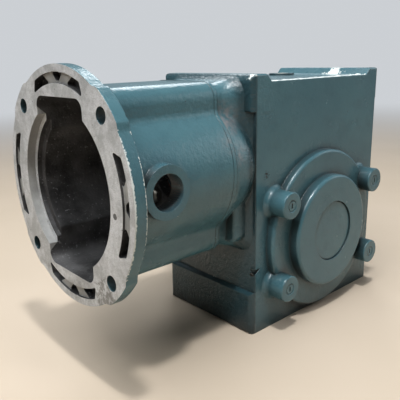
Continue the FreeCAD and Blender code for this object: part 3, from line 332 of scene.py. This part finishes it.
def machined_face(name):
    """Turned iron face about the worm axis: fine rings, pits, oil stains."""
    t = Tree(name)
    y, z = t.split()[1:3]
    up = t.math("SUBTRACT", z, worm_z)
    rings = t.math("SINE", t.times(t.length(y, up), 2 * math.pi / ring_pitch))
    scratch = t.noise(1100.0, 2.0)
    wear = t.noise(75.0, 6.0, 0.7)
    fine = t.noise(420.0, 4.0, 0.7)
    base = t.mix(t.between(wear, 0.38, 0.64), iron_dull, iron_bright)
    base = t.mix(t.times(t.between(fine, 0.45, 0.7), 0.5), base, iron_dull)
    speckle = t.between(t.noise(1500.0, 3.0, 0.7), 0.50, 0.66)
    base = t.mix(t.times(speckle, 0.45), base, oil_stain)
    # Old oil that creeps over the lower part of the face and round the lower holes
    low = t.between(up, -0.080, -0.02, 1.0, 0.0)
    patches = t.between(t.noise(48.0, 6.0, 0.7, distortion=0.4), 0.42, 0.66)
    oily = t.times(t.times(low, patches), 0.55)
    pool = t.times(near_spot(t, *face_oil_pool), t.between(t.noise(210.0, 6.0, 0.75), 0.38, 0.62))
    oily = t.math("MAXIMUM", oily, t.between(pool, 0.05, 0.55, 0.0, 0.65))
    base = t.mix(oily, base, oil_stain)
    pits = t.between(t.cells(230.0), 0.06, 0.15, 1.0, 0.0)
    pits = t.times(pits, t.between(t.noise(60.0, 2.0), 0.52, 0.6))
    large_pit = t.times(near_spot(t, *face_pit), t.between(t.noise(420.0, 2.0, 0.6), 0.22, 0.5))
    pits = t.math("MAXIMUM", pits, t.between(large_pit, 0.15, 0.3))
    base = t.mix(t.times(pits, 0.85), base, raw_iron_dark)
    normal = t.soft_edges(0.0004)
    normal = t.bump(rings, ring_height, 0.3, normal)
    normal = t.bump(scratch, scratch_height, 0.5, normal)
    normal = t.bump(pits, -pit_depth, 0.6, normal)
    rough = t.between(wear, 0.2, 0.8, 0.42, 0.55)
    return t.finish(Base_Color=base, Metallic=0.1, Roughness=rough, Normal=normal)


def raw_casting(name, first, second, glints=0.5):
    """Unpainted casting skin: dark, rough and oily."""
    t = Tree(name)
    drift = t.noise(30.0, 4.0, 0.6)
    base = t.mix(t.between(drift, 0.35, 0.65), first, second)
    glint = t.between(t.noise(500.0, 3.0), 0.62, 0.75)
    base = t.mix(t.times(glint, glints), base, iron_dull)
    normal = t.bump(t.noise(110.0, 3.0), 0.0012, 0.7, t.soft_edges(0.0008))
    normal = t.bump(t.noise(520.0, 4.0, 0.65), 0.0005, 0.8, normal)
    return t.finish(Base_Color=base, Metallic=0.2, Roughness=0.58, Normal=normal)


def metal(name, first, second, roughness, grain=300.0, streak=(1.0, 1.0, 1.0), depth=0.00005):
    """Bare or plated metal: drifting tone, fine tool marks and smudges."""
    t = Tree(name)
    drift = t.noise(60.0, 4.0, 0.6)
    fine = t.noise(grain, 3.0, 0.6, t.stretched(streak))
    base = t.mix(t.between(drift, 0.3, 0.7), first, second)
    rubbed = tuple(min(1.0, 1.35 * channel) for channel in second[:3]) + (1.0,)
    base = t.mix(t.times(t.edge_mask(0.0005), 0.35), base, rubbed)
    normal = t.bump(fine, depth, 0.6, t.soft_edges(0.0005))
    rough = t.between(t.noise(90.0, 4.0), 0.3, 0.7, roughness - 0.08, roughness + 0.1)
    return t.finish(Base_Color=base, Metallic=1.0, Roughness=rough, Normal=normal)


def matt(name, first, second, roughness):
    """Rubber or gasket sheet: fine speckle and dust."""
    t = Tree(name)
    base = t.mix(t.between(t.noise(220.0, 4.0, 0.7), 0.35, 0.65), first, second)
    normal = t.bump(t.noise(700.0, 3.0), 0.0001, 0.7, t.soft_edges(0.0004))
    return t.finish(Base_Color=base, Roughness=roughness, Normal=normal)


# Materials, by the names in the part's record
paint = painted_iron("teal_paint", housing_marks)
adapter_paint = painted_iron("teal_paint_adapter", adapter_marks)
plain_paint = painted_iron("teal_paint_plain")
machined = machined_face("machined_iron")
casting = raw_casting("raw_iron", raw_iron_dark, raw_iron)
web_casting = raw_casting("web_iron", colour(136, 137, 136), colour(164, 165, 163), 0.3)
finishes = {
    "teal_paint": plain_paint,
    "gasket_fibre": matt("gasket_fibre", colour(98, 62, 50), colour(140, 96, 78), 0.8),
    "zinc_steel": metal("zinc_steel", colour(150, 150, 142), colour(188, 186, 176), 0.38),
    "spring_steel": metal("spring_steel", colour(52, 54, 60), colour(80, 82, 88), 0.35),
    "seal_rubber": matt("seal_rubber", colour(24, 24, 25), colour(38, 37, 36), 0.5),
    "ground_steel": metal("ground_steel", colour(150, 152, 155), colour(186, 188, 190), 0.28,
                          grain=500.0, streak=(1.0, 1.0, 6.0)),
    "bare_iron": metal("bare_iron", colour(92, 90, 88), colour(126, 124, 120), 0.5, depth=0.00012),
    "bronze": metal("bronze", colour(150, 108, 60), colour(190, 146, 88), 0.36),
    "bearing_steel": metal("bearing_steel", colour(190, 192, 196), colour(214, 215, 218), 0.16),
    "cage_brass": metal("cage_brass", colour(160, 128, 68), colour(196, 164, 100), 0.3),
}

slot_of = {row["node"]: row["material_slot"] for row in frame["record"]["subparts"]}
for name, piece in nodes.items():
    finish = finishes[slot_of[name]]
    piece.data.materials.clear()
    piece.data.materials.append(finish)


def lay_faces(piece, extra, pick):
    """Gives a node's faces one of several materials, by the place and direction of each face."""
    for material in extra:
        piece.data.materials.append(material)
    for face in piece.data.polygons:
        face.material_index = pick(face.center, face.normal)


# Motor adapter: painted outside, turned on its face and pilot, raw inside
pilot_depth = 0.0064
step_radius = 0.0536
step_depth = 0.0100
pilot_radius = 0.05715
tube_bore_radius = 0.0489
lobe_y = 0.0315
lobe_z = 0.0617
web_inner = 0.0698
web_outer = 0.0779
web_depth = 0.0060
rib_depth = 0.0016
bolt_hole_radius = 0.0056
bolt_circle_radius = 0.0746
bolt_offset = bolt_circle_radius / math.sqrt(2)
face_slack = 0.0003
painted_part, turned_part, cast_part, rib_part = range(4)


def adapter_finish(place, normal):
    """Finish of one face of the adapter: turned face and step, raw cavity and bays, paint."""
    depth = place.x - flange_x
    up = place.z - worm_z
    radius = math.hypot(place.y, up)
    from_bolt = math.hypot(abs(place.y) - bolt_offset, abs(up) - bolt_offset)
    off_bolts = from_bolt > bolt_hole_radius + face_slack
    faces_motor = normal.x < -0.9
    if depth < face_slack:
        return turned_part
    if radius > web_inner:
        if off_bolts and radius < web_outer and depth < web_depth + face_slack:
            return rib_part if depth < rib_depth + face_slack and faces_motor else cast_part
        return painted_part
    inward = place.y * normal.y + up * normal.z < 0
    if depth < pilot_depth + face_slack and radius > step_radius - face_slack:
        if radius < pilot_radius + face_slack and faces_motor:
            return turned_part
        return rib_part if inward else painted_part
    if depth < step_depth + face_slack and radius < step_radius + face_slack:
        return cast_part
    inside = radius < tube_bore_radius or (abs(place.y) < lobe_y and abs(up) < lobe_z)
    if (inside or (radius < pilot_radius and inward)) and place.x < adapter_x - face_slack:
        return cast_part
    return painted_part


nodes["motor_adapter"].data.materials[0] = adapter_paint
lay_faces(nodes["motor_adapter"], [machined, casting, web_casting], adapter_finish)
nodes["housing"].data.materials[0] = paint

# Camera solved from the photograph
turn = Vector((1.7248, -0.6642, 0.4833))
eye = Vector((-0.37795, -0.31330, 0.22549))
focal_pixels = 516.6
frame_pixels = 400
middle = (188.4, 189.6)
right, down, ahead = Matrix.Rotation(turn.length, 3, turn.normalized())
camera_data = bpy.data.cameras.new("camera")
camera_data.sensor_width = 36.0
camera_data.lens = focal_pixels / frame_pixels * camera_data.sensor_width
camera_data.shift_x = 0.5 - middle[0] / frame_pixels
camera_data.shift_y = middle[1] / frame_pixels - 0.5
camera_data.clip_start = 0.01
camera = bpy.data.objects.new("camera", camera_data)
scene.collection.objects.link(camera)
camera.matrix_world = Matrix.Translation(eye) @ Matrix((right, -down, -ahead)).transposed().to_4x4()
scene.camera = camera

# Pale room: the camera sees it pale all round, mirrors see it paler on the far side
wall_colour = (0.60, 0.625, 0.655, 1.0)
wall_strength = 1.0
ambient_colour = (0.92, 0.96, 1.0, 1.0)
ambient_strength = 0.02
near_wall_share = 0.08
far_wall_share = 0.4


def seen_share(t):
    """How much of the pale room a ray sees: all from the camera, less in mirrors that face -X."""
    path = t.add("ShaderNodeLightPath").outputs
    mirrored = t.math("MAXIMUM", path["Is Glossy Ray"], path["Is Transmission Ray"])
    way = t.add("ShaderNodeVectorMath", {0: t.object}, operation="NORMALIZE").outputs["Vector"]
    along_x = t.add("ShaderNodeSeparateXYZ", {"Vector": way}).outputs["X"]
    lit = t.between(along_x, -0.5, 0.7, near_wall_share, far_wall_share)
    return t.math("MAXIMUM", path["Is Camera Ray"], t.times(mirrored, lit))


world = bpy.data.worlds.new("room")
scene.world = world
world.use_nodes = True
room = Tree("room", world.node_tree, "Generated")
ambient = room.add("ShaderNodeBackground", {"Color": ambient_colour, "Strength": ambient_strength})
backdrop = room.add("ShaderNodeBackground", {"Color": wall_colour, "Strength": wall_strength})
room_mix = room.add("ShaderNodeMixShader", {0: seen_share(room), 1: ambient.outputs[0],
                                            2: backdrop.outputs[0]})
room.add("ShaderNodeOutputWorld", {"Surface": room_mix.outputs[0]})

# Pale floor that runs into the backdrop far away
floor_mesh = bpy.data.meshes.new("floor")
floor_reach = 20.0
fade_from = 0.5
fade_to = 2.2
floor_corners = [(-floor_reach, -floor_reach, 0), (floor_reach, -floor_reach, 0),
                 (floor_reach, floor_reach, 0), (-floor_reach, floor_reach, 0)]
floor_mesh.from_pydata(floor_corners, [], [(0, 1, 2, 3)])
floor = bpy.data.objects.new("floor", floor_mesh)
scene.collection.objects.link(floor)
ground = Tree("floor")
ground_colour = ground.mix(ground.between(ground.noise(5.0, 3.0), 0.3, 0.7), colour(191, 176, 157),
                           colour(195, 180, 162))
ground.finish(Base_Color=ground_colour, Roughness=0.8)
ground_shader = next(node for node in ground.tree.nodes if node.type == "BSDF_PRINCIPLED")
ground_output = next(node for node in ground.tree.nodes if node.type == "OUTPUT_MATERIAL")
far_glow = ground.add("ShaderNodeEmission", {"Color": wall_colour, "Strength": wall_strength})
far_away = ground.add("ShaderNodeVectorMath", {0: ground.object}, operation="LENGTH").outputs["Value"]
far_share = ground.times(ground.between(far_away, fade_from, fade_to), seen_share(ground))
far_mix = ground.add("ShaderNodeMixShader", {0: far_share, 1: ground_shader.outputs[0],
                                             2: far_glow.outputs[0]})
ground.tree.links.new(far_mix.outputs[0], ground_output.inputs["Surface"])
floor_mesh.materials.append(ground.material)


def soft_lamp(name, place, target, size, power, tint=(1.0, 1.0, 1.0)):
    """Square area light at a place, turned towards a target."""
    data = bpy.data.lights.new(name, "AREA")
    data.shape = "RECTANGLE"
    data.size = size
    data.size_y = size
    data.energy = power
    data.color = tint
    lamp = bpy.data.objects.new(name, data)
    scene.collection.objects.link(lamp)
    place = Vector(place)
    lamp.matrix_world = (Matrix.Translation(place)
                         @ (Vector(target) - place).to_track_quat("-Z", "Y").to_matrix().to_4x4())


# Soft lamps, set by the light and shadow in the photograph
soft_lamp("key", (-0.33, -0.31, 1.25), (-0.05, 0.0, 0.1), 0.09, 9.5)
soft_lamp("ceiling", (-0.40, 0.05, 1.25), (-0.12, 0.0, 0.15), 1.1, 15.0, (0.95, 0.98, 1.0))
soft_lamp("back", (0.9, 0.95, 1.3), (-0.1, 0.0, 0.15), 0.6, 8.0, (0.93, 0.97, 1.0))
soft_lamp("window", (-1.3, -0.35, 1.3), (-0.1, 0.0, 0.12), 0.8, 9.0)
soft_lamp("front", (0.1, -1.3, 1.3), (0.0, 0.0, 0.1), 0.22, 2.4)
soft_lamp("right", (1.5, -0.9, 0.8), (0.0, 0.0, 0.1), 1.0, 5.0, (0.90, 0.96, 1.0))
